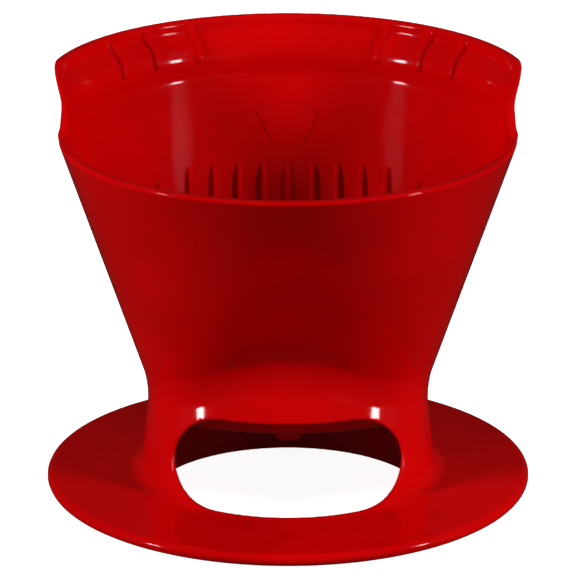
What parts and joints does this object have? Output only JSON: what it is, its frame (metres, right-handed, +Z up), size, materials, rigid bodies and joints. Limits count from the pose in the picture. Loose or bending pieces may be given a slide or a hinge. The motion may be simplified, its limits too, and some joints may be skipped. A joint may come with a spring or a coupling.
{
  "type": "pour over dripper",
  "caption": "Wedge-shaped coffee filter cone with a high back lip, on a windowed oval collar and a wide round flange that rests on a mug.",
  "frame": {"origin": "centre of the cup ring on the plane that the part stands on", "axes": "+Z up along the drip axis, -Y towards the low front rim and the window, X along the slot-shaped floor"},
  "size_m": [0.12, 0.12, 0.11],
  "materials": {
    "moulded_body": "gloss"
  },
  "bodies": {
    "root": {"filter_cone": "moulded_body", "cone_floor": "moulded_body", "drip_nozzle": "moulded_body", "stand_collar": "moulded_body", "base_flange": "moulded_body", "cup_ring": "moulded_body", "back_wall": "moulded_body", "back_lip": "moulded_body", "paper_ribs_back": "moulded_body", "paper_ribs_front": "moulded_body", "lip_ribs": "moulded_body", "size_mark": "moulded_body"}
  },
  "joints": []
}
